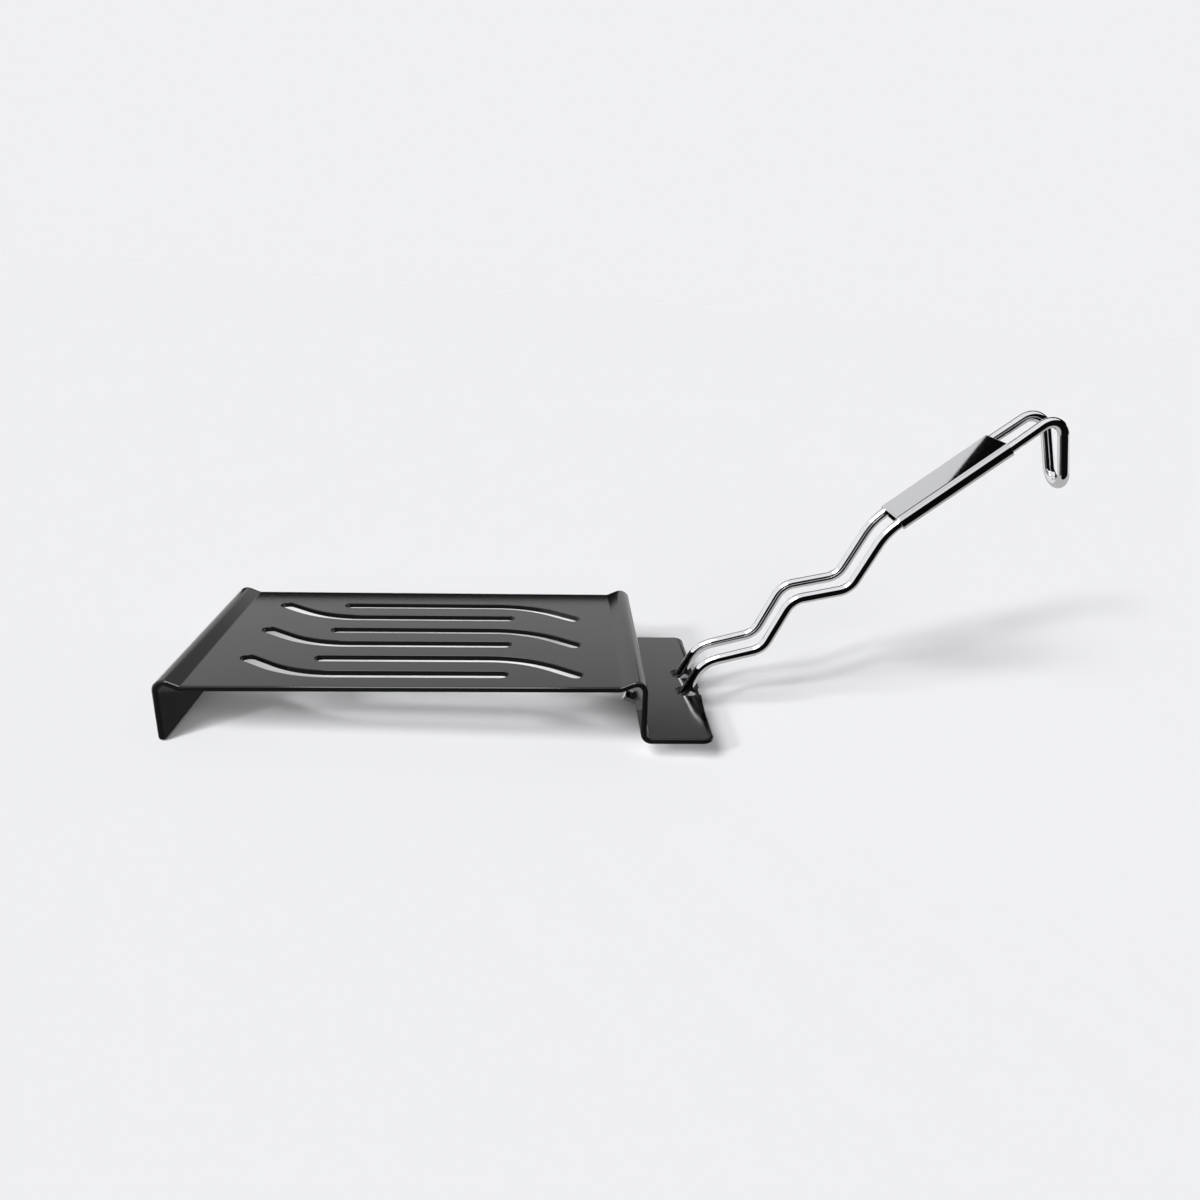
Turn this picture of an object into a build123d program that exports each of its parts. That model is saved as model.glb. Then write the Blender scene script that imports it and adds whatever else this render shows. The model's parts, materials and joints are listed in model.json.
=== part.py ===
from build123d import *

import os
from math import asin, atan2, cos, degrees, hypot, radians, sin, tan

# A slotted griddle plate folded from one steel sheet, with a wire handle hooked into
# its ledge and a flat sleeve round the wires as the grip. Millimetres and degrees.
# The plate is drawn with X from leg to handle, Y from front edge to rear edge and Z
# up, with Z = 0 on the cooking face. Everything is then tipped a little, as it stands
# on the foot of the leg and on the two hooks of the handle.

# Sheet
SHEET = 3.0
FOLD_INSIDE = 3.0

# Plate
PLATE_DEPTH = 140.0
PLATE_WIDTH = 248.0
SHOULDER_RISE = 3.0
SHOULDER_SLOPE = 24.0
LEG_HEIGHT = 31.0
LEG_CORNER = 3.0
LEDGE_DROP = 29.5
LEDGE_REACH = 36.0
LEDGE_CORNER = 6.0

# Slots in the cooking face
SLOT_WIDTH = 8.0
SLOT_PITCH = 20.0
SLOT_PAIRS = 3
FIRST_SLOT = 16.0
SLOT_OUTER_END = 91.0
SLOT_INNER_END = 52.0
SLOT_SLOPE = 36.0
SLOT_BEND = 60.0

# Handle wire
WIRE = 6.0
RUN_SPACING = 24.0
CREST_SPACING = 21.4
LOOP_SPACING = 16.4
CLOSING_BEND = 30.0
TIP_BEVEL = 1.0
TIP_LENGTH = 21.0
TIP_SLOPE = 23.8
HOOK_RADIUS = 10.0
HOOK_REACH = 15.6
HOOK_SEAT_GAP = 0.1
HOLE_DIAMETER = 12.0
HOLE_LEAD = 2.5

# Straight stretches of each run, from the hook to the hanging leg of the end loop:
# length between corners, slope, and the radius of the bend at its far end
STEM = (27.6, 61.9, 18.0)
ZIGZAG = [
    (34.2, 15.1, 13.0),
    (33.0, 64.4, 13.0),
    (32.7, 11.9, 13.0),
    (37.1, 63.3, 36.0),
]
GRIP_STRETCH = (110.3, 37.8, 8.4)
LEG_STRETCH = (34.5, -76.8)

# Grip sleeve
SLEEVE_LENGTH = 68.5
SLEEVE_START = 0.3
SLEEVE_WALL = 1.0
SLEEVE_PLAY = 0.05
SLEEVE_SEAM = 0.8

# Worked out from the sizes above
HALF_WIDTH = PLATE_WIDTH / 2
FOLD_OUTSIDE = FOLD_INSIDE + SHEET
MID_DEPTH = PLATE_DEPTH / 2
RUN_FRONT = MID_DEPTH - RUN_SPACING / 2
RUN_REAR = MID_DEPTH + RUN_SPACING / 2
GRIP_TURN = radians(ZIGZAG[-1][1] - GRIP_STRETCH[1])
SLEEVE_REACH = ZIGZAG[-1][2] * tan(GRIP_TURN / 2) + SLEEVE_START


def heading(slope):
    """Unit step up a slope, in the plane of a run."""
    return Vector(cos(radians(slope)), 0, sin(radians(slope)))


def below(slope):
    """Unit step square to a slope, away from what lies above it."""
    return Vector(sin(radians(slope)), 0, -cos(radians(slope)))


# The hook closes under the ledge's fold: its tip rests against the fold's outside
FOLD_CENTRE = Vector(HALF_WIDTH + FOLD_INSIDE, 0, FOLD_INSIDE - LEDGE_DROP)
TIP_DISTANCE = FOLD_OUTSIDE + WIRE / 2 + HOOK_SEAT_GAP
TIP_SIDE = below(-TIP_SLOPE)
HOOK_RUN = HOOK_REACH - FOLD_INSIDE
HOOK_FALL = (TIP_DISTANCE - HOOK_RADIUS - HOOK_RUN * TIP_SIDE.X) / TIP_SIDE.Z
HOOK_CENTRE = FOLD_CENTRE + Vector(HOOK_RUN, 0, HOOK_FALL)
HOLE_CENTRE_X = HOOK_CENTRE.X + HOOK_RADIUS + HOLE_LEAD

# Standing: the line from the leg's foot that just touches the hooks from below
FOOT = Vector(-HALF_WIDTH, 0, -LEG_HEIGHT)
SPAN = HOOK_CENTRE - FOOT
HOOK_OUTSIDE = HOOK_RADIUS + WIRE / 2
STANCE = degrees(asin(HOOK_OUTSIDE / hypot(SPAN.X, SPAN.Z)) - atan2(SPAN.Z, SPAN.X))


def sheet_section():
    """The sheet's edge as seen from the front: leg, shoulders, face, drop and ledge."""
    slope = radians(SHOULDER_SLOPE)
    crest_x = HALF_WIDTH - FOLD_OUTSIDE * (1 + sin(slope))
    crest_z = SHOULDER_RISE - FOLD_OUTSIDE * (1 - cos(slope))
    valley = crest_x - crest_z / tan(slope)
    peak = (HALF_WIDTH - valley) * tan(slope)
    with BuildSketch(Plane.XZ) as section:
        with BuildLine():
            outside = FilletPolyline(
                (-HALF_WIDTH, -LEG_HEIGHT),
                (-HALF_WIDTH, peak),
                (-valley, 0),
                (valley, 0),
                (HALF_WIDTH, peak),
                (HALF_WIDTH, -LEDGE_DROP),
                (HALF_WIDTH + LEDGE_REACH, -LEDGE_DROP),
                radius=[FOLD_OUTSIDE, FOLD_INSIDE, FOLD_INSIDE, FOLD_OUTSIDE, FOLD_INSIDE],
            )
            offset(outside, SHEET, side=Side.RIGHT, mode=Mode.REPLACE)
        make_face()
    return section.sketch


def slot(front_line):
    """One slot: it slants from the line behind onto front_line, then runs straight."""
    start = -SLOT_OUTER_END + SLOT_WIDTH / 2
    end = SLOT_INNER_END - SLOT_WIDTH / 2
    corner = start + SLOT_PITCH / tan(radians(SLOT_SLOPE))
    centre_line = FilletPolyline(
        (start, front_line + SLOT_PITCH),
        (corner, front_line),
        (end, front_line),
        radius=SLOT_BEND,
    )
    return SlotArc(Wire(centre_line.edges()), SLOT_WIDTH)


def slots():
    """Pairs of slots: the second of a pair is the first one turned half round."""
    outlines = Sketch()
    for pair in range(SLOT_PAIRS):
        front_line = FIRST_SLOT + 2 * SLOT_PITCH * pair
        centre = (0, front_line + SLOT_PITCH / 2)
        one = slot(front_line)
        outlines += one
        outlines += one.rotate(Axis(centre, (0, 0, 1)), 180)
    return outlines


def griddle_plate():
    """The folded sheet with its slots, its two holes for the hooks and round corners."""
    plate = extrude(sheet_section(), amount=-PLATE_DEPTH)
    plate -= extrude(slots(), amount=-2 * SHEET, both=True)
    for y in (RUN_FRONT, RUN_REAR):
        plate -= Pos(HOLE_CENTRE_X, y, -LEDGE_DROP) * Cylinder(HOLE_DIAMETER / 2, 3 * SHEET)
    upright = plate.edges().filter_by(Axis.Z)
    plate = fillet(upright.group_by(Axis.X)[-1], LEDGE_CORNER)
    across = plate.edges().filter_by(Axis.X)
    plate = fillet(across.group_by(Axis.X)[0], LEG_CORNER)
    return plate


def run_points():
    """Corners of the front run's centreline, from the tip of its hook to the end loop."""
    stem_side = below(STEM[1])
    tip_start = HOOK_CENTRE + TIP_SIDE * HOOK_RADIUS
    turn = stem_side + TIP_SIDE
    corner = HOOK_CENTRE + turn * (HOOK_RADIUS / (1 + stem_side.dot(TIP_SIDE)))
    points = [tip_start - heading(-TIP_SLOPE) * TIP_LENGTH, corner]
    at = HOOK_CENTRE + stem_side * HOOK_RADIUS
    for length, slope, _ in [STEM, *ZIGZAG]:
        at += heading(slope) * length
        points.append(at)
    sleeve_end = at + heading(GRIP_STRETCH[1]) * (SLEEVE_REACH + SLEEVE_LENGTH)
    crest = at + heading(GRIP_STRETCH[1]) * GRIP_STRETCH[0]
    leg_end = crest + heading(LEG_STRETCH[1]) * LEG_STRETCH[0]
    spacings = [RUN_SPACING] * (len(points) + 1) + [CREST_SPACING, LOOP_SPACING]
    points += [sleeve_end, crest, leg_end]
    return [Vector(p.X, MID_DEPTH - s / 2, p.Z) for p, s in zip(points, spacings)]


def run_line():
    """Centreline of the front run, down to where the end loop turns."""
    radii = [HOOK_RADIUS]
    radii += [bend for _, _, bend in [STEM, *ZIGZAG]]
    radii += [CLOSING_BEND, GRIP_STRETCH[2]]
    return FilletPolyline(*run_points(), radius=radii)


def bar(edge):
    """Round bar along one line or arc of a wire's centreline."""
    section = Plane(edge @ 0, z_dir=edge % 0) * Circle(WIRE / 2)
    if edge.geom_type == GeomType.LINE:
        return extrude(section, amount=edge.length)
    centre = edge.arc_center
    turning = (edge @ 0 - centre).cross(edge % 0)
    return revolve(section, Axis(centre, turning), degrees(edge.length / edge.radius))


def handle_wire():
    """Both runs and the end loop as one bent wire."""
    front = run_line()
    loop_start = front @ 1
    loop_end = Vector(loop_start.X, PLATE_DEPTH - loop_start.Y, loop_start.Z)
    loop = TangentArc(loop_start, loop_end, tangent=front % 1)
    run = Part() + [bar(edge) for edge in front.edges()]
    tip = run.faces().filter_by(GeomType.PLANE).sort_by(Axis.X)[0]
    run = chamfer(tip.edges(), TIP_BEVEL)
    return run + bar(loop.edge()) + mirror(run, Plane.XZ.offset(-MID_DEPTH))


def grip_sleeve():
    """A sheet tube pressed flat round both runs, with its seam on the underside."""
    slope = GRIP_STRETCH[1]
    *_, grip_corner, _, _, _ = run_points()
    start = grip_corner + heading(slope) * SLEEVE_REACH
    start = Vector(start.X, MID_DEPTH, start.Z)
    across = Plane(start, x_dir=(0, -1, 0), z_dir=heading(slope))
    inside = WIRE + 2 * SLEEVE_PLAY
    outside = inside + 2 * SLEEVE_WALL
    ring = SlotCenterToCenter(RUN_SPACING, outside) - SlotCenterToCenter(RUN_SPACING, inside)
    underside = Pos(0, outside / 2)
    ring -= underside * Rectangle(SLEEVE_SEAM, outside)
    return extrude(across * ring, amount=SLEEVE_LENGTH)


def main():
    """Builds the parts, stands them on the floor and writes one file for each."""
    parts = {
        "griddle_plate": griddle_plate(),
        "handle_wire": handle_wire(),
        "grip_sleeve": grip_sleeve(),
    }
    tipped = {name: Rot(0, -STANCE, 0) * shape for name, shape in parts.items()}
    box = Compound(children=list(tipped.values())).bounding_box()
    place = Pos(-box.center().X, -box.center().Y, -box.min.Z) * Rot(0, -STANCE, 0)
    os.makedirs("parts", exist_ok=True)
    for name, shape in parts.items():
        export_step(place * shape, f"parts/{name}.step")
    pivot = place * Pos(HOOK_CENTRE.X, MID_DEPTH, HOOK_CENTRE.Z)
    print("stance", round(STANCE, 4))
    print("handle pivot", pivot.position)
    print("size", box.size)


main()
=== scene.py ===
import json
import logging
import math
from dataclasses import dataclass
from enum import Enum

import bpy
from mathutils import Matrix, Vector


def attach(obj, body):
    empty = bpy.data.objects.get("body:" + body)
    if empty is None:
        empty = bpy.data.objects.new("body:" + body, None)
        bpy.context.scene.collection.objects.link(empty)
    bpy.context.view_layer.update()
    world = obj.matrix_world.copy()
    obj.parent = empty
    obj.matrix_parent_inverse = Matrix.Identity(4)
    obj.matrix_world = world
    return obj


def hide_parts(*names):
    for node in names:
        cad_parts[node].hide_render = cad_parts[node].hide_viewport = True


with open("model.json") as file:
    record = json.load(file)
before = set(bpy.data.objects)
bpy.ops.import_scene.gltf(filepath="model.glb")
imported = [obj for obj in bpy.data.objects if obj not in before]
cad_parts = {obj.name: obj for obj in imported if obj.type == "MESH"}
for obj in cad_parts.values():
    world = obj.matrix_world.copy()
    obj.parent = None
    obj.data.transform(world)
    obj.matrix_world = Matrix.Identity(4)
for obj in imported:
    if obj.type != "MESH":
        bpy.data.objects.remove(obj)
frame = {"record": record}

LOG = logging.getLogger("griddle")
MM = 0.001
Triple = tuple[float, float, float]

# Where the mount on the cooking face lies in the plate's own frame, in millimetres
COOK_FACE_AT = Vector((-100.0, 70.0, 0.0))

# Limits of the modelling steps in millimetres
SAME_POINT = 0.001
NEAR = 0.01

# Fewest steps in which a bend is drawn
FEWEST_STEPS = 2

# Limits of the modelling steps in radians
SAME_LINE = 0.001
SHARP = math.radians(40)

# How strongly large faces lead the shading at a corner, from 1 to 100
LARGE_FACES_FIRST = 80

# The tint of the floor and the backdrop, and the tone of a black card
COOL_WHITE = (0.992, 0.995, 1.012)
FLAG_BLACK = 0.004


class Body(Enum):
    """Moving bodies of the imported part."""

    PLATE = "plate"
    HANDLE = "handle"


class Choice(Enum):
    """What is selected in edit mode."""

    EDGES = "EDGE"
    FACES = "FACE"


# Bent routes


@dataclass(frozen=True)
class Straight:
    """A straight stretch of a route."""

    start: Vector
    step: Vector

    @property
    def length(self) -> float:
        """Length of the stretch."""
        return self.step.length

    def at(self, along: float) -> tuple[Vector, Vector]:
        """Point and direction at a distance along the stretch."""
        direction = self.step.normalized()
        return self.start + direction * along, direction


@dataclass(frozen=True)
class Bend:
    """An arc of a route."""

    start: Vector
    direction: Vector
    centre: Vector
    axis: Vector
    angle: float

    @property
    def radius(self) -> float:
        """Radius of the arc."""
        return (self.start - self.centre).length

    @property
    def length(self) -> float:
        """Length of the arc."""
        return self.radius * self.angle

    def at(self, along: float) -> tuple[Vector, Vector]:
        """Point and direction at a distance along the arc."""
        turn = Matrix.Rotation(along / self.radius, 3, self.axis)
        return self.centre + turn @ (self.start - self.centre), turn @ self.direction


class Route:
    """A line of straight stretches joined by arcs, given by its corners."""

    def __init__(self, corners: list[Vector], radii: list[float]) -> None:
        """Works out the stretches.

        Args:
            corners: the corners, with the two ends.
            radii: the radius of the bend at each corner between the ends.
        """
        self.parts: list[Straight | Bend] = []
        at = corners[0]
        for before, corner, after, radius in zip(corners, corners[1:], corners[2:], radii):
            coming = (corner - before).normalized()
            going = (after - corner).normalized()
            angle = coming.angle(going)
            start = corner - coming * (radius * math.tan(angle / 2))
            axis = coming.cross(going).normalized()
            self.parts.append(Straight(at, start - at))
            bend = Bend(start, coming, start + axis.cross(coming) * radius, axis, angle)
            self.parts.append(bend)
            at = bend.at(bend.length)[0]
        self.parts.append(Straight(at, corners[-1] - at))

    @property
    def length(self) -> float:
        """Length of the whole route."""
        return sum(part.length for part in self.parts)

    def at(self, along: float) -> tuple[Vector, Vector]:
        """Point and direction at a distance along the route.

        Args:
            along: distance from the start; past either end the route goes on straight.

        Returns:
            The point and the unit direction of travel.
        """
        for part in self.parts[:-1]:
            if along < part.length:
                return part.at(along)
            along -= part.length
        return self.parts[-1].at(along)


# Bench work: the modelling steps that several pieces share


class Bench:
    """Modelling steps on one object at a time, as at a workbench."""

    @staticmethod
    def pick(piece: bpy.types.Object) -> None:
        """Selects one object alone and makes it active.

        Args:
            piece: the object.
        """
        bpy.ops.object.select_all(action="DESELECT")
        piece.select_set(True)
        bpy.context.view_layer.objects.active = piece

    @staticmethod
    def edge(name: str, start: Vector, end: Vector) -> bpy.types.Object:
        """A new object with a single edge.

        Args:
            name: the object's name.
            start: one end of the edge.
            end: the other end.

        Returns:
            The new object.
        """
        mesh = bpy.data.meshes.new(name)
        mesh.from_pydata([start, end], [(0, 1)], [])
        piece = bpy.data.objects.new(name, mesh)
        bpy.context.collection.objects.link(piece)
        return piece

    @staticmethod
    def follow(piece: bpy.types.Object, route: Route, facet: float) -> None:
        """Draws the whole of a piece along a route.

        Args:
            piece: an edge or an open ring at the route's start.
            route: the route to follow.
            facet: the largest turn of one facet in the bends, in radians.
        """
        Bench.edit(piece)
        for part in route.parts:
            if isinstance(part, Straight):
                Bench.extrude(part.step)
            else:
                steps = max(FEWEST_STEPS, math.ceil(part.angle / facet))
                bpy.ops.mesh.spin(
                    steps=steps, angle=-part.angle, center=part.centre, axis=part.axis
                )
        Bench.done()

    @staticmethod
    def edit(piece: bpy.types.Object) -> None:
        """Opens a piece in edit mode with everything selected.

        Args:
            piece: the object.
        """
        Bench.pick(piece)
        bpy.ops.object.mode_set(mode="EDIT")
        bpy.ops.mesh.select_all(action="SELECT")

    @staticmethod
    def done() -> None:
        """Leaves edit mode."""
        bpy.ops.object.mode_set(mode="OBJECT")

    @staticmethod
    def choose(piece: bpy.types.Object, choice: Choice, chosen: list[bool]) -> None:
        """Opens a piece in edit mode with only some of its edges or faces selected.

        Args:
            piece: the object.
            choice: edges or faces.
            chosen: for each of them in turn, whether it is selected.
        """
        Bench.edit(piece)
        bpy.ops.mesh.select_mode(type=choice.value)
        bpy.ops.mesh.select_all(action="DESELECT")
        Bench.done()
        parts = piece.data.edges if choice is Choice.EDGES else piece.data.polygons
        for part, select in zip(parts, chosen):
            part.select = select
        bpy.ops.object.mode_set(mode="EDIT")

    @staticmethod
    def extrude(step: Vector) -> None:
        """Extrudes what is selected by one step."""
        bpy.ops.mesh.extrude_region_move(TRANSFORM_OT_translate={"value": step})

    @staticmethod
    def face_outwards() -> None:
        """Turns all faces of the piece in edit mode outwards."""
        bpy.ops.mesh.select_all(action="SELECT")
        bpy.ops.mesh.normals_make_consistent(inside=False)

    @staticmethod
    def join(pieces: list[bpy.types.Object]) -> bpy.types.Object:
        """Joins objects into one.

        Args:
            pieces: the objects.

        Returns:
            The first of them.
        """
        Bench.pick(pieces[0])
        for piece in pieces:
            piece.select_set(True)
        bpy.ops.object.join()
        return pieces[0]

    @staticmethod
    def modify(piece: bpy.types.Object, kind: str, **settings: object) -> None:
        """Adds a modifier to a piece and applies it.

        Args:
            piece: the object.
            kind: the modifier's type.
            settings: the modifier's settings.
        """
        Bench.pick(piece)
        modifier = piece.modifiers.new(kind.title(), kind)
        for name, value in settings.items():
            setattr(modifier, name, value)
        bpy.ops.object.modifier_apply(modifier=modifier.name)

    @staticmethod
    def dress(piece: bpy.types.Object, material: bpy.types.Material) -> None:
        """Gives the whole of a piece one material."""
        piece.data.materials.clear()
        piece.data.materials.append(material)


# Finishes


class Wiring:
    """Builds node trees with short calls."""

    def __init__(self, tree: bpy.types.NodeTree) -> None:
        """Empties a tree, to build in it."""
        self.tree = tree
        tree.nodes.clear()

    def node(self, kind: str, **sockets: object) -> bpy.types.Node:
        """A new node with some sockets set or linked.

        Args:
            kind: the node's type.
            sockets: values by input name, with _ for a space; an output socket is linked.

        Returns:
            The new node.
        """
        node = self.tree.nodes.new(kind)
        for name, value in sockets.items():
            self.feed(node.inputs[name.replace("_", " ")], value)
        return node

    def feed(self, socket: bpy.types.NodeSocket, value: object) -> None:
        """Sets a socket to a value, or links it to an output.

        Args:
            socket: the input socket.
            value: its value, or the output socket to link.
        """
        if isinstance(value, bpy.types.NodeSocket):
            self.tree.links.new(value, socket)
        else:
            socket.default_value = value

    def math(self, operation: str, *values: object) -> bpy.types.NodeSocket:
        """The result of a Math node.

        Args:
            operation: the node's operation.
            values: its inputs in turn.

        Returns:
            The node's output.
        """
        node = self.tree.nodes.new("ShaderNodeMath")
        node.operation = operation
        for socket, value in zip(node.inputs, values):
            self.feed(socket, value)
        return node.outputs[0]

    def mix(self, factor: object, a: object, b: object) -> bpy.types.NodeSocket:
        """A plain mix of two values."""
        return self.node("ShaderNodeMix", Factor=factor, A=a, B=b).outputs[0]

    def span(
        self, value: object, low: float, high: float, to_low: float, to_high: float
    ) -> bpy.types.NodeSocket:
        """A value eased from one range onto another, and held at its ends.

        Args:
            value: the value.
            low: start of the first range.
            high: end of the first range.
            to_low: start of the second range.
            to_high: end of the second range.

        Returns:
            The eased value.
        """
        node = self.node("ShaderNodeMapRange", Value=value)
        node.interpolation_type = "SMOOTHSTEP"
        for name, number in zip(
            ("From Min", "From Max", "To Min", "To Max"), (low, high, to_low, to_high)
        ):
            node.inputs[name].default_value = number
        return node.outputs[0]


def new_material(name: str) -> tuple[bpy.types.Material, Wiring]:
    """A new node material to build in.

    Args:
        name: the material's name.

    Returns:
        The material, and the wiring of its empty tree.
    """
    material = bpy.data.materials.new(name)
    material.use_nodes = True
    return material, Wiring(material.node_tree)


def speckle_group() -> bpy.types.NodeTree:
    """The group that breaks up a finish: a fine grain and slow soft patches.

    Returns:
        A shader node group with a Grain value, a Patch value, and a Normal.
    """
    group = bpy.data.node_groups.new("FinishGrain", "ShaderNodeTree")
    face = group.interface
    for name, kind in (
        ("Vector", "NodeSocketVector"),
        ("Grain Scale", "NodeSocketFloat"),
        ("Patch Scale", "NodeSocketFloat"),
        ("Relief", "NodeSocketFloat"),
    ):
        face.new_socket(name=name, in_out="INPUT", socket_type=kind)
    for name, kind in (
        ("Grain", "NodeSocketFloat"),
        ("Patch", "NodeSocketFloat"),
        ("Normal", "NodeSocketVector"),
    ):
        face.new_socket(name=name, in_out="OUTPUT", socket_type=kind)
    wiring = Wiring(group)
    given = wiring.node("NodeGroupInput").outputs
    grain = wiring.node(
        "ShaderNodeTexNoise",
        Vector=given["Vector"],
        Scale=given["Grain Scale"],
        Detail=3.0,
        Roughness=0.55,
    )
    patch = wiring.node(
        "ShaderNodeTexNoise",
        Vector=given["Vector"],
        Scale=given["Patch Scale"],
        Detail=2.0,
        Roughness=0.5,
    )
    bump = wiring.node(
        "ShaderNodeBump",
        Height=grain.outputs["Fac"],
        Strength=given["Relief"],
        Distance=0.0001,
    )
    wiring.node(
        "NodeGroupOutput",
        Grain=grain.outputs["Fac"],
        Patch=patch.outputs["Fac"],
        Normal=bump.outputs["Normal"],
    )
    return group


@dataclass(frozen=True)
class Finish:
    """A metal or coated surface with its own grain and slow patches."""

    name: str
    colour: Triple
    patch_colour: Triple
    metallic: float
    roughness: tuple[float, float]
    ior: float
    grain_size: float
    patch_size: float
    relief: float
    stretch: Triple = (1.0, 1.0, 1.0)
    turn: float = 0.0
    grain_range: tuple[float, float] = (0.3, 0.7)

    def material(self, grain: bpy.types.NodeTree) -> bpy.types.Material:
        """Builds the material.

        Args:
            grain: the group from speckle_group.

        Returns:
            A node material that reads Object coordinates.
        """
        material, wiring = new_material(self.name)
        mapping = wiring.node(
            "ShaderNodeMapping",
            Vector=wiring.node("ShaderNodeTexCoord").outputs["Object"],
            Rotation=(0.0, self.turn, 0.0),
            Scale=self.stretch,
        )
        marks = wiring.tree.nodes.new("ShaderNodeGroup")
        marks.node_tree = grain
        wiring.feed(marks.inputs["Vector"], mapping.outputs["Vector"])
        wiring.feed(marks.inputs["Grain Scale"], 1 / self.grain_size)
        wiring.feed(marks.inputs["Patch Scale"], 1 / self.patch_size)
        wiring.feed(marks.inputs["Relief"], self.relief)
        tint = wiring.node("ShaderNodeMix")
        tint.data_type = "RGBA"
        wiring.feed(tint.inputs["Factor"], marks.outputs["Patch"])
        wiring.feed(tint.inputs["A"], (*self.colour, 1.0))
        wiring.feed(tint.inputs["B"], (*self.patch_colour, 1.0))
        gloss = wiring.span(marks.outputs["Grain"], *self.grain_range, *self.roughness)
        shader = wiring.node(
            "ShaderNodeBsdfPrincipled",
            Base_Color=tint.outputs["Result"],
            Metallic=self.metallic,
            Roughness=gloss,
            IOR=self.ior,
            Normal=marks.outputs["Normal"],
        )
        wiring.node("ShaderNodeOutputMaterial", Surface=shader.outputs["BSDF"])
        return material


BLACK_COAT = Finish(
    name="BlackCoat",
    colour=(0.003, 0.003, 0.0032),
    patch_colour=(0.005, 0.005, 0.0052),
    metallic=0.0,
    roughness=(0.10, 0.15),
    ior=1.5,
    grain_size=0.0011,
    patch_size=0.05,
    relief=0.12,
)
BRIGHT_WIRE = Finish(
    name="BrightWire",
    colour=(0.80, 0.80, 0.81),
    patch_colour=(0.74, 0.74, 0.755),
    metallic=1.0,
    roughness=(0.025, 0.05),
    ior=1.5,
    grain_size=0.0016,
    patch_size=0.02,
    relief=0.03,
)
BRIGHT_SLEEVE = Finish(
    name="BrightSleeve",
    colour=(0.65, 0.65, 0.655),
    patch_colour=(0.62, 0.62, 0.63),
    metallic=1.0,
    roughness=(0.02, 0.04),
    ior=1.5,
    grain_size=0.0007,
    patch_size=0.02,
    relief=0.012,
    stretch=(0.06, 1.0, 1.0),
    turn=math.radians(40.6),
)


# The object


@dataclass(frozen=True)
class Stance:
    """How the plate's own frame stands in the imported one."""

    face_point: Vector
    face_up: Vector
    face_mount_at: Vector

    @classmethod
    def read(cls, record: dict, face_mount_at: Vector) -> "Stance":
        """Reads the cooking face's mount, which is at face_mount_at in the plate's frame."""
        mount = next(m for m in record["mounts"] if m["name"] == "cook_face")
        return cls(Vector(mount["pos_m"]), Vector(mount["axis"]), face_mount_at)

    def matrix(self) -> Matrix:
        """From the plate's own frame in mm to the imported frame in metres.

        Returns:
            The matrix that stands the plate up.
        """
        tilt = Matrix.Rotation(math.atan2(self.face_up.x, self.face_up.z), 4, "Y")
        scaled = tilt @ Matrix.Scale(MM, 4)
        shift = self.face_point - scaled @ self.face_mount_at
        return Matrix.Translation(shift) @ scaled

    def settle(self, piece: bpy.types.Object) -> None:
        """Moves a piece's mesh from the plate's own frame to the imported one."""
        piece.data.transform(self.matrix())
        piece.data.update()


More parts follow.
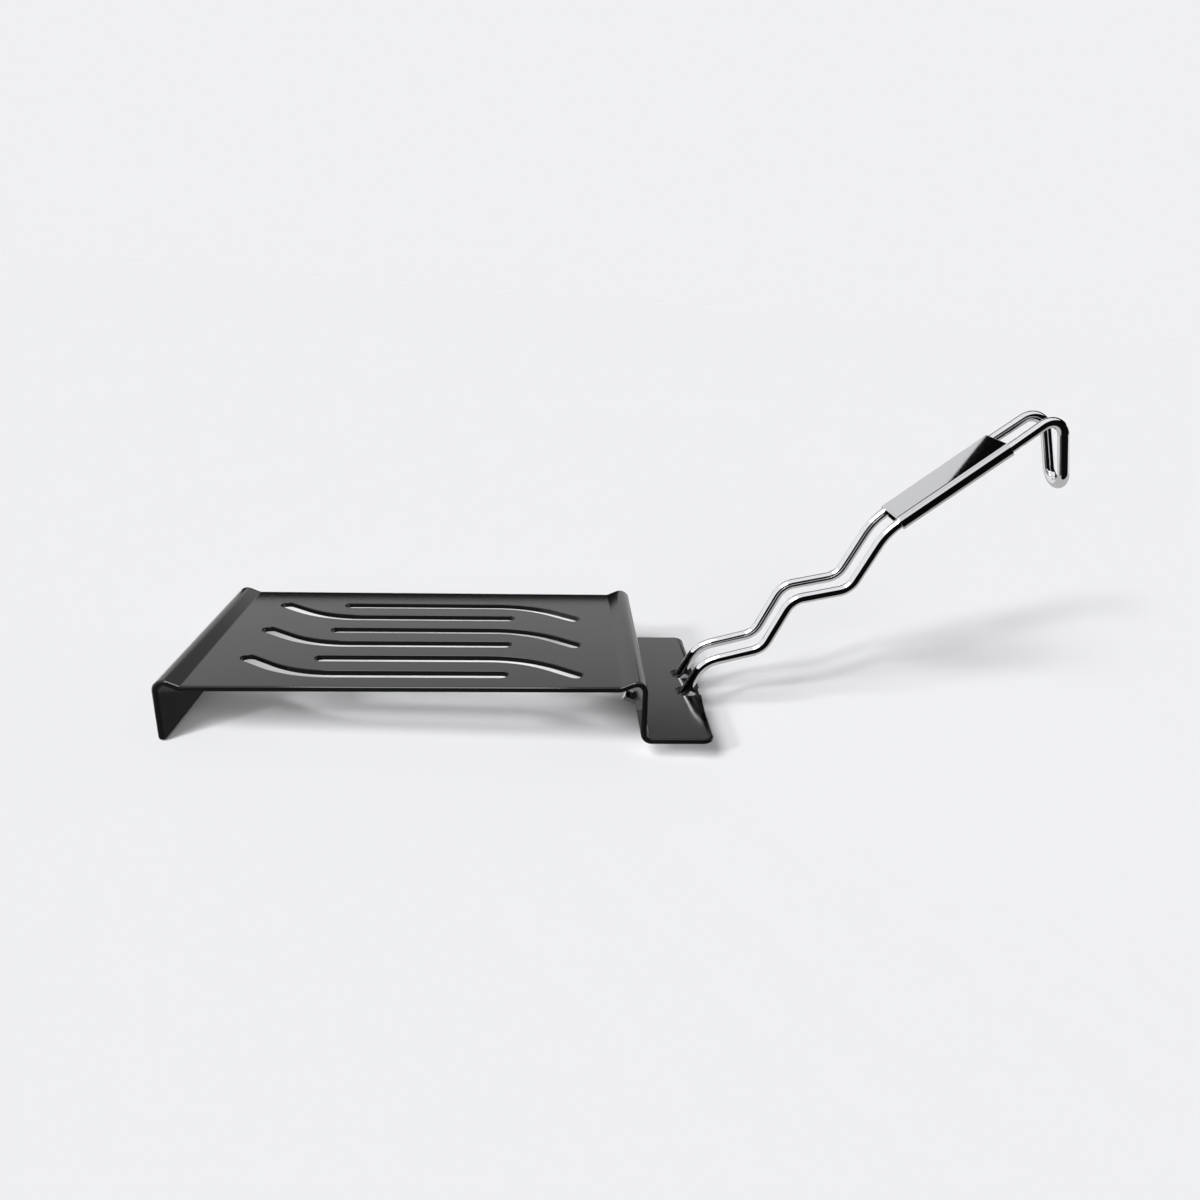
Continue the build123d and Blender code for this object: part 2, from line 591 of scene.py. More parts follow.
@dataclass
class GriddlePlate:
    """The folded sheet: leg, shoulders, slotted face, drop and ledge. Millimetres."""

    sheet: float = 3.0
    fold_inside: float = 3.0
    depth: float = 140.0
    width: float = 248.0
    shoulder_rise: float = 3.0
    shoulder_slope: float = 24.0
    leg_height: float = 31.0
    leg_corner: float = 3.0
    ledge_drop: float = 29.5
    ledge_reach: float = 36.0
    ledge_corner: float = 6.0
    slot_width: float = 8.0
    slot_pitch: float = 20.0
    slot_pairs: int = 3
    first_slot: float = 16.0
    slot_outer_end: float = 91.0
    slot_inner_end: float = 52.0
    slot_slope: float = 36.0
    slot_bend: float = 60.0
    hole_diameter: float = 12.0
    hole_x: float = 152.1
    hole_spacing: float = 24.0
    rim_round: float = 1.15
    slot_round: float = 0.5
    fold_facet: float = math.radians(6)
    slot_facet: float = math.radians(4)
    rib_spacing: float = 15.0
    ribs_each_side: int = 7
    corner_steps: int = 12
    rim_steps: int = 5
    cap_steps: int = 24
    hole_facets: int = 64
    punch_height: float = 12.0

    def fold_line(self) -> Route:
        """The sheet's upper side as seen from the front, from the leg's foot on.

        Returns:
            The fold line.
        """
        half = self.width / 2
        outside = self.fold_inside + self.sheet
        slope = math.radians(self.shoulder_slope)
        crest_x = half - outside * (1 + math.sin(slope))
        crest_z = self.shoulder_rise - outside * (1 - math.cos(slope))
        valley = crest_x - crest_z / math.tan(slope)
        peak = (half - valley) * math.tan(slope)
        corners = [
            (-half, -self.leg_height),
            (-half, peak),
            (-valley, 0),
            (valley, 0),
            (half, peak),
            (half, -self.ledge_drop),
            (half + self.ledge_reach, -self.ledge_drop),
        ]
        radii = [outside, self.fold_inside, self.fold_inside, outside, self.fold_inside]
        return Route([Vector((x, 0, z)) for x, z in corners], radii)

    def blank_middle(self, line: Route) -> float:
        """Distance along the blank at which the plate's middle lies.

        Args:
            line: the fold line.

        Returns:
            The distance in millimetres.
        """
        along = 0.0
        for part in line.parts:
            if isinstance(part, Straight) and part.start.x < 0 < part.at(part.length)[0].x:
                return along - part.start.x
            along += part.length
        raise ValueError("the sheet has no level middle")

    def fold_cuts(self, line: Route) -> list[float]:
        """Distances along the blank at which the folds need an edge.

        Args:
            line: the fold line.

        Returns:
            The distances in millimetres.
        """
        cuts = []
        along = 0.0
        for part in line.parts:
            if isinstance(part, Bend):
                steps = math.ceil(part.angle / self.fold_facet)
                cuts += [along + part.length * i / steps for i in range(steps + 1)]
            along += part.length
        return cuts

    def rib_cuts(self, line: Route) -> list[float]:
        """Distances along the blank at which the level face is divided into short faces.

        Args:
            line: the fold line.

        Returns:
            The distances in millimetres.
        """
        middle = self.blank_middle(line)
        ribs = range(-self.ribs_each_side, self.ribs_each_side + 1)
        return [middle + self.rib_spacing * i for i in ribs]

    def blank(self, line: Route) -> bpy.types.Object:
        """The flat sheet before it is cut, with its corners rounded.

        Args:
            line: the fold line, whose length is the blank's.

        Returns:
            A slab with its upper side at level 0.
        """
        size = Vector((line.length, self.depth, self.sheet))
        bpy.ops.object.select_all(action="DESELECT")
        bpy.ops.mesh.primitive_cube_add(size=1, location=(0, 0, 0))
        slab = bpy.context.object
        slab.name = "GriddlePlate"
        slab.data.transform(Matrix.Diagonal((*size, 1)))
        slab.data.transform(Matrix.Translation((size.x / 2, size.y / 2, -size.z / 2)))
        self.round_corners(slab, 0.0, self.leg_corner)
        self.round_corners(slab, line.length, self.ledge_corner)
        return slab

    def round_corners(self, slab: bpy.types.Object, end: float, radius: float) -> None:
        """Rounds the two upright edges at one end of the blank.

        Args:
            slab: the blank.
            end: distance along the blank of that end.
            radius: the corners' radius.
        """
        points = slab.data.vertices
        upright = []
        for edge in slab.data.edges:
            a, b = (points[i].co for i in edge.vertices)
            at_end = abs(a.x - end) < NEAR and abs(b.x - end) < NEAR
            upright.append(at_end and abs(a.z - b.z) > self.sheet / 2)
        Bench.choose(slab, Choice.EDGES, upright)
        bpy.ops.mesh.bevel(offset=radius, segments=self.corner_steps, affect="EDGES")
        Bench.done()

    def cut_lines(self, slab: bpy.types.Object, cuts: list[float]) -> None:
        """Draws an edge round the blank at each distance, so that it can fold there.

        Args:
            slab: the blank.
            cuts: the distances along it.
        """
        for cut in cuts:
            Bench.edit(slab)
            bpy.ops.mesh.bisect(plane_co=(cut, 0, 0), plane_no=(1, 0, 0))
            Bench.done()

    def slot_route(self, front_line: float) -> Route:
        """Centre line of a slot that slants onto front_line and then runs straight.

        Args:
            front_line: depth of the straight part.

        Returns:
            The centre line.
        """
        start = -self.slot_outer_end + self.slot_width / 2
        end = self.slot_inner_end - self.slot_width / 2
        corner = start + self.slot_pitch / math.tan(math.radians(self.slot_slope))
        return Route(
            [
                Vector((start, front_line + self.slot_pitch, 0)),
                Vector((corner, front_line, 0)),
                Vector((end, front_line, 0)),
            ],
            [self.slot_bend],
        )

    def slot_punch(self, front_line: float, middle: float, turned: bool) -> bpy.types.Object:
        """The punch for one slot.

        Args:
            front_line: depth of the slot's straight part, before any turn.
            middle: distance along the blank of the plate's middle.
            turned: whether the slot is turned half round its pair's centre.

        Returns:
            An upright solid with the slot's outline.
        """
        route = self.slot_route(front_line)
        start, heading = route.at(0)
        side = Vector((-heading.y, heading.x, 0)) * (self.slot_width / 2)
        punch = Bench.edge("Punch", start - side, start + side)
        Bench.follow(punch, route, self.slot_facet)
        end, _ = route.at(route.length)
        for centre, reach in ((start, side), (end, Vector((0, -self.slot_width / 2, 0)))):
            cap = Bench.edge("Cap", centre, centre + reach)
            Bench.edit(cap)
            bpy.ops.mesh.spin(
                steps=self.cap_steps, angle=-math.pi, center=centre, axis=(0, 0, 1)
            )
            Bench.done()
            Bench.join([punch, cap])
        self.raise_punch(punch)
        if turned:
            pivot = Vector((0, front_line + self.slot_pitch / 2, 0))
            turn = Matrix.Translation(pivot) @ Matrix.Rotation(math.pi, 4, "Z")
            punch.data.transform(turn @ Matrix.Translation(-pivot))
        punch.data.transform(Matrix.Translation((middle, 0, 0)))
        return punch

    def raise_punch(self, punch: bpy.types.Object) -> None:
        """Makes a flat outline into an upright solid that passes the whole sheet.

        Args:
            punch: the flat outline, in loose pieces.
        """
        Bench.edit(punch)
        bpy.ops.mesh.remove_doubles(threshold=SAME_POINT)
        bpy.ops.mesh.dissolve_limited(angle_limit=SAME_LINE)
        bpy.ops.transform.translate(value=(0, 0, -self.punch_height / 2))
        Bench.extrude(Vector((0, 0, self.punch_height)))
        Bench.face_outwards()
        Bench.done()

    def hole_punch(self, along: float, depth: float) -> bpy.types.Object:
        """The punch for one of the round holes that take the handle's hooks.

        Args:
            along: distance along the blank.
            depth: distance from the front edge.

        Returns:
            An upright cylinder.
        """
        bpy.ops.object.select_all(action="DESELECT")
        bpy.ops.mesh.primitive_cylinder_add(
            vertices=self.hole_facets, radius=self.hole_diameter / 2, depth=self.punch_height
        )
        punch = bpy.context.object
        punch.data.transform(Matrix.Translation((along, depth, 0)))
        return punch

    def punches(self, line: Route) -> bpy.types.Object:
        """All the punches as one object.

        Args:
            line: the fold line.

        Returns:
            The joined punches.
        """
        middle = self.blank_middle(line)
        made = []
        for pair in range(self.slot_pairs):
            front_line = self.first_slot + 2 * self.slot_pitch * pair
            made.append(self.slot_punch(front_line, middle, turned=False))
            made.append(self.slot_punch(front_line, middle, turned=True))
        end = self.width / 2 + self.ledge_reach
        for side in (-1, 1):
            depth = self.depth / 2 + side * self.hole_spacing / 2
            made.append(self.hole_punch(line.length - (end - self.hole_x), depth))
        return Bench.join(made)

    def mark_edges(self, slab: bpy.types.Object, length: float) -> None:
        """Marks how far each sharp edge is rounded: the rim in full, slots and holes less.

        Args:
            slab: the cut blank.
            length: the blank's length.
        """
        Bench.edit(slab)
        bpy.ops.mesh.select_mode(type=Choice.EDGES.value)
        bpy.ops.mesh.select_all(action="DESELECT")
        bpy.ops.mesh.edges_select_sharp(sharpness=SHARP)
        Bench.done()
        points = slab.data.vertices
        weights = slab.data.attributes.new("bevel_weight_edge", "FLOAT", "EDGE")
        rim = self.ledge_corner + NEAR
        for edge, weight in zip(slab.data.edges, weights.data):
            if edge.select:
                a, b = (points[i].co for i in edge.vertices)
                middle = (a + b) / 2
                at_side = min(middle.y, self.depth - middle.y) < rim
                at_end = min(middle.x, length - middle.x) < rim
                weight.value = 1.0 if at_side or at_end else self.slot_round / self.rim_round

    def fold(self, slab: bpy.types.Object, line: Route) -> None:
        """Folds the finished blank along the line, as a press brake does.

        Args:
            slab: the cut and rounded blank.
            line: the fold line.
        """
        for vertex in slab.data.vertices:
            point, heading = line.at(vertex.co.x)
            under = Vector((heading.z, 0, -heading.x))
            folded = point - under * vertex.co.z
            vertex.co = (folded.x, vertex.co.y, folded.z)

    def build(self, stance: Stance, coat: bpy.types.Material) -> bpy.types.Object:
        """Cuts, rounds and folds the sheet, and coats it.

        Args:
            stance: how the plate stands.
            coat: the black coat.

        Returns:
            The finished plate.
        """
        line = self.fold_line()
        plate = self.blank(line)
        self.cut_lines(plate, self.fold_cuts(line) + self.rib_cuts(line))
        punches = self.punches(line)
        Bench.modify(plate, "BOOLEAN", object=punches, operation="DIFFERENCE", solver="EXACT")
        bpy.data.objects.remove(punches)
        self.mark_edges(plate, line.length)
        Bench.modify(
            plate,
            "BEVEL",
            width=self.rim_round,
            segments=self.rim_steps,
            limit_method="WEIGHT",
            use_clamp_overlap=False,
        )
        self.fold(plate, line)
        Bench.pick(plate)
        bpy.ops.object.shade_smooth()
        Bench.modify(plate, "WEIGHTED_NORMAL", weight=LARGE_FACES_FIRST, keep_sharp=False)
        stance.settle(plate)
        Bench.dress(plate, coat)
        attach(plate, Body.PLATE.value)
        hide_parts("griddle_plate")
        LOG.info("%s: %d faces", plate.name, len(plate.data.polygons))
        return plate


@dataclass(frozen=True)
class Stretch:
    """A straight stretch of the wire: length, slope, and the bend at its far end."""

    length: float
    slope: float
    bend: float = 0.0


@dataclass
class Handle:
    """The bent double wire with its hooks and end loop, and the grip sleeve."""

    wire: float = 6.0
    run_spacing: float = 24.0
    crest_spacing: float = 21.4
    loop_spacing: float = 16.4
    closing_bend: float = 30.0
    tip_bevel: float = 0.9
    tip_length: float = 21.0
    tip_slope: float = 23.8
    hook_radius: float = 10.0
    hook_centre: tuple[float, float] = (139.6, -31.0736)
    stem: Stretch = Stretch(27.6, 61.9, 18.0)
    zigzag: tuple[Stretch, ...] = (
        Stretch(34.2, 15.1, 13.0),
        Stretch(33.0, 64.4, 13.0),
        Stretch(32.7, 11.9, 13.0),
        Stretch(37.1, 63.3, 36.0),
    )
    grip_stretch: Stretch = Stretch(110.3, 37.8, 8.4)
    leg_stretch: Stretch = Stretch(34.5, -76.8)
    middle_depth: float = 70.0
    sleeve_length: float = 68.5
    sleeve_start: float = 0.3
    sleeve_wall: float = 1.0
    sleeve_play: float = 0.05
    sleeve_seam: float = 0.8
    sleeve_edge: float = 0.3
    sleeve_facet: float = math.radians(7.5)
    sleeve_bend_share: float = 0.999
    edge_steps: int = 3
    round_facets: int = 56
    bend_facet: float = math.radians(4)
    smooth_up_to: float = math.radians(35)

    @staticmethod
    def heading(slope: float) -> Vector:
        """Unit step up a slope, in the plane of a run."""
        return Vector((math.cos(math.radians(slope)), 0, math.sin(math.radians(slope))))

    @staticmethod
    def below(slope: float) -> Vector:
        """Unit step square to a slope, away from what lies above it."""
        return Vector((math.sin(math.radians(slope)), 0, -math.cos(math.radians(slope))))

    def hook_middle(self) -> Vector:
        """Centre of the hooks' bends, on the middle plane."""
        return Vector((self.hook_centre[0], self.middle_depth, self.hook_centre[1]))

    def stretch_ends(self) -> list[Vector]:
        """Upper corners of the stem and of the zigzag, on the middle plane.

        Returns:
            The corners, from the stem's on to the grip's.
        """
        at = self.hook_middle() + self.below(self.stem.slope) * self.hook_radius
        ends = []
        for stretch in (self.stem, *self.zigzag):
            at = at + self.heading(stretch.slope) * stretch.length
            ends.append(at)
        return ends

    def sleeve_reach(self) -> float:
        """Distance from the grip's lower corner to the sleeve's lower end.

        Returns:
            The distance in millimetres.
        """
        turn = math.radians(self.zigzag[-1].slope - self.grip_stretch.slope)
        return self.zigzag[-1].bend * math.tan(turn / 2) + self.sleeve_start

    def run_corners(self) -> list[Vector]:
        """Corners of the front run, from its hook's tip down into the end loop.

        Returns:
            The corners of its centre line.
        """
        centre = self.hook_middle()
        stem_side = self.below(self.stem.slope)
        tip_side = self.below(-self.tip_slope)
        tip = centre + tip_side * self.hook_radius
        tip -= self.heading(-self.tip_slope) * self.tip_length
        turn = stem_side + tip_side
        hook = centre + turn * (self.hook_radius / (1 + stem_side.dot(tip_side)))
        ends = self.stretch_ends()
        uphill = self.heading(self.grip_stretch.slope)
        sleeve_end = ends[-1] + uphill * (self.sleeve_reach() + self.sleeve_length)
        crest = ends[-1] + uphill * self.grip_stretch.length
        leg_end = crest + self.heading(self.leg_stretch.slope) * self.leg_stretch.length
        points = [tip, hook, *ends, sleeve_end, crest, leg_end]
        spacings = [self.run_spacing] * (len(points) - 2)
        spacings += [self.crest_spacing, self.loop_spacing]
        return [p - Vector((0, s / 2, 0)) for p, s in zip(points, spacings)]

    def wire_route(self) -> Route:
        """The whole wire's centre line, from the front hook's tip to the rear one's.

        Returns:
            The centre line.
        """
        front = self.run_corners()
        crest, leg_end = front[-2:]
        drop = leg_end - crest
        meeting = crest + drop * ((self.middle_depth - crest.y) / drop.y)
        front[-1] = meeting
        rear = [Vector((p.x, 2 * self.middle_depth - p.y, p.z)) for p in front[:-1]]
        bends = [self.hook_radius]
        bends += [stretch.bend for stretch in (self.stem, *self.zigzag)]
        bends += [self.closing_bend, self.grip_stretch.bend]
        sideways = math.asin(drop.y / drop.length)
        closing = self.loop_spacing / 2 / math.cos(sideways)
        return Route(front + rear[::-1], bends + [closing] + bends[::-1])

    def build_wire(self, stance: Stance, bright: bpy.types.Material) -> bpy.types.Object:
        """Bends one bar into both runs and the end loop.

        Args:
            stance: how the plate stands.
            bright: the wire's finish.

        Returns:
            The finished wire.
        """
        route = self.wire_route()
        start, heading = route.at(0)
        bpy.ops.object.select_all(action="DESELECT")
        bpy.ops.mesh.primitive_circle_add(
            vertices=self.round_facets, radius=self.wire / 2, fill_type="NOTHING"
        )
        wire = bpy.context.object
        wire.name = "HandleWire"
        turn = heading.to_track_quat("Z", "Y").to_matrix().to_4x4()
        wire.data.transform(Matrix.Translation(start) @ turn)
        Bench.follow(wire, route, self.bend_facet)
        Bench.edit(wire)
        bpy.ops.mesh.remove_doubles(threshold=SAME_POINT)
        bpy.ops.mesh.select_all(action="DESELECT")
        bpy.ops.mesh.select_mode(type=Choice.EDGES.value)
        bpy.ops.mesh.select_non_manifold()
        bpy.ops.mesh.edge_face_add()
        Bench.done()
        self.close_tips(wire)
        Bench.edit(wire)
        Bench.face_outwards()
        Bench.done()
        bpy.ops.object.shade_smooth_by_angle(angle=self.smooth_up_to)
        stance.settle(wire)
        Bench.dress(wire, bright)
        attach(wire, Body.HANDLE.value)
        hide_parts("handle_wire")
        LOG.info("%s: %d faces", wire.name, len(wire.data.polygons))
        return wire

    def close_tips(self, wire: bpy.types.Object) -> None:
        """Takes the sharp rim off both cut ends, the only faces of more than four corners.

        Args:
            wire: the wire with its ends closed.
        """
        cut_ends = [len(face.vertices) > 4 for face in wire.data.polygons]
        Bench.choose(wire, Choice.FACES, cut_ends)
        bpy.ops.mesh.region_to_loop()
        bpy.ops.mesh.bevel(offset=self.tip_bevel, segments=self.edge_steps, affect="EDGES")
        Bench.done()

    def build_sleeve(self, stance: Stance, bright: bpy.types.Material) -> bpy.types.Object:
        """Presses a sheet tube flat round both runs.

        Args:
            stance: how the plate stands.
            bright: the sleeve's finish.

        Returns:
            The finished sleeve.
        """
        uphill = self.heading(self.grip_stretch.slope)
        down = self.below(self.grip_stretch.slope)
        start = self.stretch_ends()[-1] + uphill * self.sleeve_reach()
        inside = self.wire / 2 + self.sleeve_play
        outside = inside + self.sleeve_wall
        mean = (inside + outside) / 2
        front = start - Vector((0, self.run_spacing / 2, 0))
        rear = start + Vector((0, self.run_spacing / 2, 0))
        seam = Vector((0, self.sleeve_seam / 2, 0))
        out = Vector((0, mean, 0))
        corners = [
            start + down * mean - seam,
            front + down * mean - out,
            front - down * mean - out,
            rear - down * mean + out,
            rear + down * mean + out,
            start + down * mean + seam,
        ]
        route = Route(corners, [mean * self.sleeve_bend_share] * (len(corners) - 2))
        first = corners[0]
        half_wall = down * (self.sleeve_wall / 2)
        sleeve = Bench.edge("GripSleeve", first - half_wall, first + half_wall)
        Bench.follow(sleeve, route, self.sleeve_facet)
        Bench.edit(sleeve)
        bpy.ops.mesh.remove_doubles(threshold=SAME_POINT)
        Bench.extrude(uphill * self.sleeve_length)
        Bench.face_outwards()
        Bench.done()
        Bench.modify(
            sleeve,
            "BEVEL",
            width=self.sleeve_edge,
            segments=self.edge_steps,
            limit_method="ANGLE",
            angle_limit=SHARP,
        )
        Bench.pick(sleeve)
        bpy.ops.object.shade_smooth()
        Bench.modify(sleeve, "WEIGHTED_NORMAL", weight=LARGE_FACES_FIRST, keep_sharp=False)
        stance.settle(sleeve)
        Bench.dress(sleeve, bright)
        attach(sleeve, Body.HANDLE.value)
        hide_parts("grip_sleeve")
        LOG.info("%s: %d faces", sleeve.name, len(sleeve.data.polygons))
        return sleeve


# The studio


@dataclass(frozen=True)
class Softbox:
    """A far soft lamp that lights the whole floor evenly."""

    name: str
    towards: Triple
    width: float
    share: float

    def hang(self) -> None:
        """Adds the lamp, with its share of the light on the floor; it has no reflection."""
        towards = Vector(self.towards)
        data = bpy.data.lights.new(self.name, "SUN")
        data.angle = math.radians(self.width)
        data.energy = self.share * math.pi * towards.length / -towards.z
        lamp = bpy.data.objects.new(self.name, data)
        lamp.rotation_mode = "QUATERNION"
        lamp.rotation_quaternion = towards.to_track_quat("-Z", "Y")
        lamp.visible_glossy = False
        bpy.context.collection.objects.link(lamp)


@dataclass(frozen=True)
class FloorFill:
    """A flat lamp close over a stretch of the floor that lies in the object's shadow."""

    name: str
    front_left: Triple
    rear_right: Triple
    level: float

    def hang(self) -> None:
        """Adds the lamp; at level 1 it is as bright as the white floor."""
        size = Vector(self.rear_right) - Vector(self.front_left)
        data = bpy.data.lights.new(self.name, "AREA")
        data.shape = "RECTANGLE"
        data.size = size.x
        data.size_y = size.y
        data.energy = self.level * math.pi * size.x * size.y
        lamp = bpy.data.objects.new(self.name, data)
        lamp.location = (Vector(self.front_left) + Vector(self.rear_right)) / 2
        lamp.visible_camera = False
        lamp.visible_glossy = False
        bpy.context.collection.objects.link(lamp)


@dataclass(frozen=True)
class Card:
    """A card that shows in reflections only: dark as a flag, or bright as a softbox."""

    name: str
    corners: tuple[Triple, ...]
    tone: float

    @classmethod
    def level(cls, name: str, front_left: Triple, rear_right: Triple, tone: float) -> "Card":
        """A level card.

        Args:
            name: the card's name.
            front_left: one corner.
            rear_right: the corner across from it.
            tone: how bright it is.

        Returns:
            The card.
        """
        left, front, height = front_left
        right, rear, _ = rear_right
        corners = tuple((x, y, height) for y in (front, rear) for x in (left, right))
        return cls(name, corners, tone)

    def stand(self) -> None:
        """Adds the card."""
        bpy.ops.object.select_all(action="DESELECT")
        bpy.ops.mesh.primitive_plane_add(size=1)
        card = bpy.context.object
        card.name = self.name
        for vertex, corner in zip(card.data.vertices, self.corners):
            vertex.co = corner
        material, wiring = new_material(self.name)
        glow = wiring.node("ShaderNodeEmission", Color=(self.tone, self.tone, self.tone, 1.0))
        wiring.node("ShaderNodeOutputMaterial", Surface=glow.outputs["Emission"])
        Bench.dress(card, material)
        card.visible_camera = False
        card.visible_diffuse = False
        card.visible_shadow = False
        card.visible_transmission = False


@dataclass(frozen=True)
class Zone:
    """A range of directions with soft ends, and how bright it is."""

    low: float
    high: float
    soft: float
    level: float = 1.0

    def mask(self, wiring: Wiring, value: object) -> bpy.types.NodeSocket:
        """1 between the two ends and 0 beyond them.

        Args:
            wiring: the world's tree.
            value: the angle or height that is looked at.

        Returns:
            The mask.
        """
        rising = wiring.span(value, self.low - self.soft, self.low + self.soft, 0.0, 1.0)
        falling = wiring.span(value, self.high - self.soft, self.high + self.soft, 1.0, 0.0)
        return wiring.math("MULTIPLY", rising, falling)


@dataclass(frozen=True)
class Surroundings:
    """What stands round the object as far as its own reflections go.

    The lamp and the dark split in it lie between two angles round the handle's line,
    counted from the front. The backdrop and the grey gap above it lie between two
    heights of the direction looked in, at the rear only. A pair of numbers is where a
    soft edge starts and ends. The pairs gap_from and backdrop_up_to are azimuths, 0
    straight to the rear and growing towards the handle's end. Below the height
    wider_below the backdrop goes on past backdrop_up_to.
    """

    handle_slope: float = math.radians(39.4)
    lamp: Zone = Zone(math.radians(40), math.radians(130), 0.01, 1.2)
    split: Zone = Zone(math.radians(88), math.radians(91.5), 0.006, 0.95)
    backdrop: Zone = Zone(-0.05, 0.455, 0.008)
    gap: Zone = Zone(0.455, 0.62, 0.008, 0.45)
    gap_from: tuple[float, float] = (math.radians(-15), math.radians(-13))
    backdrop_up_to: tuple[float, float] = (math.radians(13), math.radians(15))
    wider_below: tuple[float, float] = (0.31, 0.34)
    rear_from: tuple[float, float] = (-0.02, 0.02)

    def level(
        self, wiring: Wiring, axes: bpy.types.bpy_prop_collection
    ) -> bpy.types.NodeSocket:
        """How bright it is in a direction: the backdrop, the lamp, and black elsewhere."""
        return wiring.math("MAXIMUM", self.behind(wiring, axes), self.overhead(wiring, axes))

    def overhead(
        self, wiring: Wiring, axes: bpy.types.bpy_prop_collection
    ) -> bpy.types.NodeSocket:
        """The long lamp over the handle, with its dark split.

        Args:
            wiring: the world's tree.
            axes: the parts of the direction looked in.

        Returns:
            The lamp's level.
        """
        leaning = wiring.math("MULTIPLY", axes["X"], -math.sin(self.handle_slope))
        square = wiring.math("MULTIPLY_ADD", axes["Z"], math.cos(self.handle_slope), leaning)
        front = wiring.math("MULTIPLY", axes["Y"], -1.0)
        over = wiring.math("ARCTAN2", square, front)
        split = wiring.math("MULTIPLY", self.split.mask(wiring, over), self.split.level)
        lamp = wiring.math("SUBTRACT", self.lamp.mask(wiring, over), split)
        return wiring.math("MULTIPLY", lamp, self.lamp.level)

    def behind(
        self, wiring: Wiring, axes: bpy.types.bpy_prop_collection
    ) -> bpy.types.NodeSocket:
        """The white backdrop low at the rear, and the grey gap above it.

        Args:
            wiring: the world's tree.
            axes: the parts of the direction looked in.

        Returns:
            The level of the two together.
        """
        azimuth = wiring.math("ARCTAN2", axes["X"], axes["Y"])
        gap = self.gap.mask(wiring, axes["Z"])
        gap = wiring.math("MULTIPLY", gap, wiring.span(azimuth, *self.gap_from, 0.0, 1.0))
        low = self.backdrop.mask(wiring, axes["Z"])
        white = wiring.math("MULTIPLY_ADD", gap, self.gap.level, low)
        narrow = wiring.span(azimuth, *self.backdrop_up_to, 1.0, 0.0)
        wide = wiring.span(axes["Z"], *self.wider_below, 1.0, 0.0)
        extent = wiring.math("MAXIMUM", narrow, wide)
        rear = wiring.span(axes["Y"], *self.rear_from, 0.0, 1.0)
        return wiring.math("MULTIPLY", white, wiring.math("MULTIPLY", extent, rear))


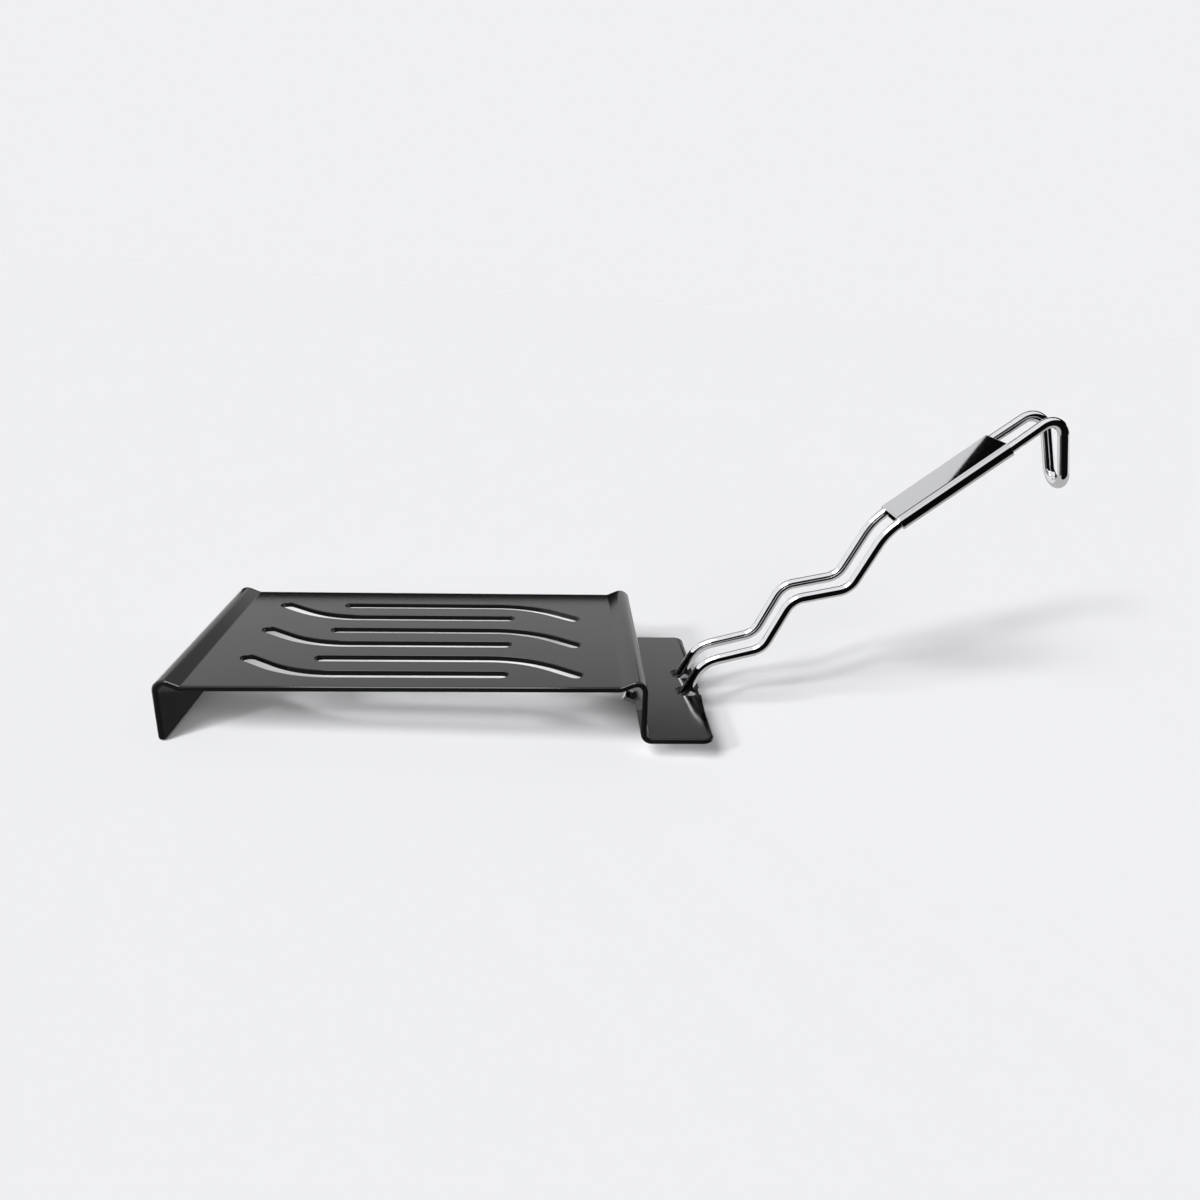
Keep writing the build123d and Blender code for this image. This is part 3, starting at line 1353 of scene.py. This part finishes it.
@dataclass(frozen=True)
class Studio:
    """Pale floor, soft light and the camera at the photograph's angle."""

    backdrop: float = 0.875
    floor_span: float = 12.0
    camera_at: Triple = (-0.05022, -0.50120, 0.24697)
    camera_turn: Triple = (69.9276, -4.3057, -2.5968)
    focal_pixels: float = 940.0
    frame_pixels: float = 1200.0
    sensor: float = 36.0
    clip: tuple[float, float] = (0.01, 100.0)
    dome_share: float = 0.10
    surroundings: Surroundings = Surroundings()
    fills: tuple[FloorFill, ...] = (
        FloorFill("UnderFront", (-0.225, -0.045, 0.024), (-0.008, 0.005, 0.024), 0.05),
        FloorFill("UnderRear", (-0.232, 0.005, 0.024), (-0.008, 0.09, 0.024), 0.8),
        FloorFill("UnderLedge", (0.008, -0.062, 0.008), (0.044, -0.036, 0.008), 0.30),
    )
    softboxes: tuple[Softbox, ...] = (
        Softbox("Key", (1.35, 1.4, -1.0), 6.0, 0.16),
        Softbox("Main", (0.65, 0.8, -1.0), 22.0, 0.54),
        Softbox("LowFront", (-0.1, 1.7, -1.0), 36.0, 0.20),
    )
    cards: tuple[Card, ...] = (
        # A black slope in front of the handle, parallel to its runs
        Card(
            "HandleFlag",
            (
                (-0.446, -0.045, -0.462),
                (0.79, -0.045, 0.554),
                (-0.627, -0.30, -0.242),
                (0.609, -0.30, 0.774),
            ),
            FLAG_BLACK,
        ),
        # The floor before the plate, nearly black in reflections
        Card.level("FloorFlag", (-0.27, -0.32, 0.0004), (0.06, -0.01, 0.0004), 0.09),
        # The floor under the handle and beyond it, grey in reflections
        Card.level("GreyFloor", (0.06, -0.6, 0.0003), (1.5, 0.9, 0.0003), 0.55),
        # A bright card over the leg's end, for the light line on the rims
        Card.level("OverPlate", (-0.30, -0.40, 0.42), (-0.05, 0.05, 0.42), 6.0),
        # A black card behind the handle, for the dark triangle on the sleeve
        Card(
            "SleeveFlag",
            (
                (0.06, 0.30, 0.2689),
                (0.30, 0.30, 0.3617),
                (0.06, 0.30, 0.36),
                (0.30, 0.30, 0.46),
            ),
            FLAG_BLACK,
        ),
        # A low black card behind the plate, for the dark band along its rear edge
        Card(
            "RearFlag",
            (
                (-0.262, 0.12, 0.03),
                (0.0, 0.12, 0.04),
                (-0.262, 0.12, 0.0530),
                (0.0, 0.12, 0.0658),
            ),
            FLAG_BLACK,
        ),
    )

    def camera(self) -> None:
        """Sets up the camera."""
        data = bpy.data.cameras.new("Camera")
        data.sensor_width = self.sensor
        data.lens = self.focal_pixels / self.frame_pixels * self.sensor
        data.clip_start, data.clip_end = self.clip
        camera = bpy.data.objects.new("Camera", data)
        camera.location = self.camera_at
        camera.rotation_euler = [math.radians(a) for a in self.camera_turn]
        bpy.context.collection.objects.link(camera)
        bpy.context.scene.camera = camera

    def floor(self) -> None:
        """Lays a wide floor, pale and a little cool as in the photograph."""
        bpy.ops.object.select_all(action="DESELECT")
        bpy.ops.mesh.primitive_plane_add(size=self.floor_span)
        floor = bpy.context.object
        floor.name = "Floor"
        material, wiring = new_material("PaleFloor")
        pale = [self.backdrop * part for part in COOL_WHITE]
        matt = wiring.node("ShaderNodeBsdfDiffuse", Color=(*pale, 1.0))
        wiring.node("ShaderNodeOutputMaterial", Surface=matt.outputs["BSDF"])
        Bench.dress(floor, material)

    def world(self) -> None:
        """Shows the camera a plain pale field, and each reflection its surroundings.

        All other rays see a weak even light.
        """
        world = bpy.data.worlds.new("Studio")
        bpy.context.scene.world = world
        world.use_nodes = True
        wiring = Wiring(world.node_tree)
        ray = wiring.node("ShaderNodeLightPath").outputs
        way = wiring.node("ShaderNodeTexCoord").outputs["Generated"]
        axes = wiring.node("ShaderNodeSeparateXYZ", Vector=way).outputs
        mirrored = self.surroundings.level(wiring, axes)
        mirrored = wiring.math("MULTIPLY", mirrored, self.backdrop)
        bounced = wiring.mix(ray["Is Glossy Ray"], self.dome_share, mirrored)
        strength = wiring.mix(ray["Is Camera Ray"], bounced, self.backdrop)
        shade = wiring.node("ShaderNodeBackground", Color=(*COOL_WHITE, 1.0), Strength=strength)
        wiring.node("ShaderNodeOutputWorld", Surface=shade.outputs["Background"])

    def build(self) -> None:
        """Sets the whole stage."""
        bpy.context.scene.view_settings.view_transform = "Standard"
        self.floor()
        for softbox in self.softboxes:
            softbox.hang()
        for card in self.cards:
            card.stand()
        for lamp in self.fills:
            lamp.hang()
        self.world()
        self.camera()


def corners(box: tuple[Vector, Vector]) -> list[list[float]]:
    """A box as plain lists of numbers."""
    return [list(corner) for corner in box]


def main() -> None:
    """Builds the object and the stage."""
    logging.basicConfig(level=logging.INFO, format="%(name)s: %(message)s")
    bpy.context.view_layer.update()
    grain = speckle_group()
    stance = Stance.read(frame["record"], COOK_FACE_AT)
    GriddlePlate().build(stance, BLACK_COAT.material(grain))
    handle = Handle()
    handle.build_wire(stance, BRIGHT_WIRE.material(grain))
    handle.build_sleeve(stance, BRIGHT_SLEEVE.material(grain))
    Studio().build()


if __name__ == "__main__":
    main()
